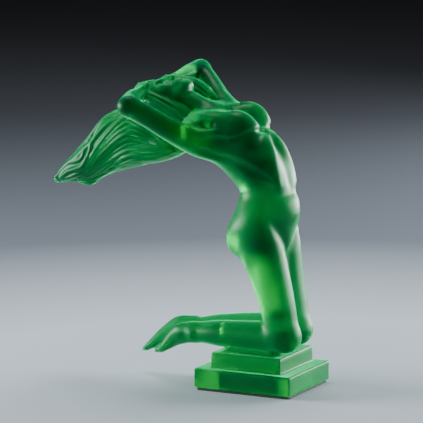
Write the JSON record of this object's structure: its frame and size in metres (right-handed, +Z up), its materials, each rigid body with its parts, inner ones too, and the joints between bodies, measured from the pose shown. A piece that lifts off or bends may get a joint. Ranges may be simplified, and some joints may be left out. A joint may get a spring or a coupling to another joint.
{
  "type": "hood ornament",
  "caption": "Kneeling figure in green pressed glass, arched backwards with hands behind the head and long streaming hair, on a stepped plinth with threaded fixing bushes.",
  "frame": {"origin": "middle of the plinth's underside, where the ornament sits on the hood", "axes": "+X forwards, the way the knees point, with the hair streaming back along -X; +Z up; +Y to the figure's left"},
  "size_m": [0.1654, 0.0954, 0.1795],
  "materials": {
    "green_glass": "satin, as pressed and acid washed",
    "pad_rubber": "matt black sheet",
    "plate_steel": "as rolled",
    "bush_brass": "turned",
    "cement": "dark setting cement"
  },
  "bodies": {
    "root": {"plinth_slab": "green_glass", "plinth_step": "green_glass", "right_shin": "green_glass", "left_shin": "green_glass", "right_foot": "green_glass", "left_foot": "green_glass", "right_thigh": "green_glass", "left_thigh": "green_glass", "torso": "green_glass", "head": "green_glass", "right_upper_arm": "green_glass", "left_upper_arm": "green_glass", "right_forearm": "green_glass", "left_forearm": "green_glass", "hair_crown": "green_glass", "hair_underside": "green_glass", "hair_tail": "green_glass", "base_pad": "pad_rubber", "mount_plate": "plate_steel", "front_bush": "bush_brass", "rear_bush": "bush_brass", "cement_bed": "cement"}
  },
  "joints": []
}
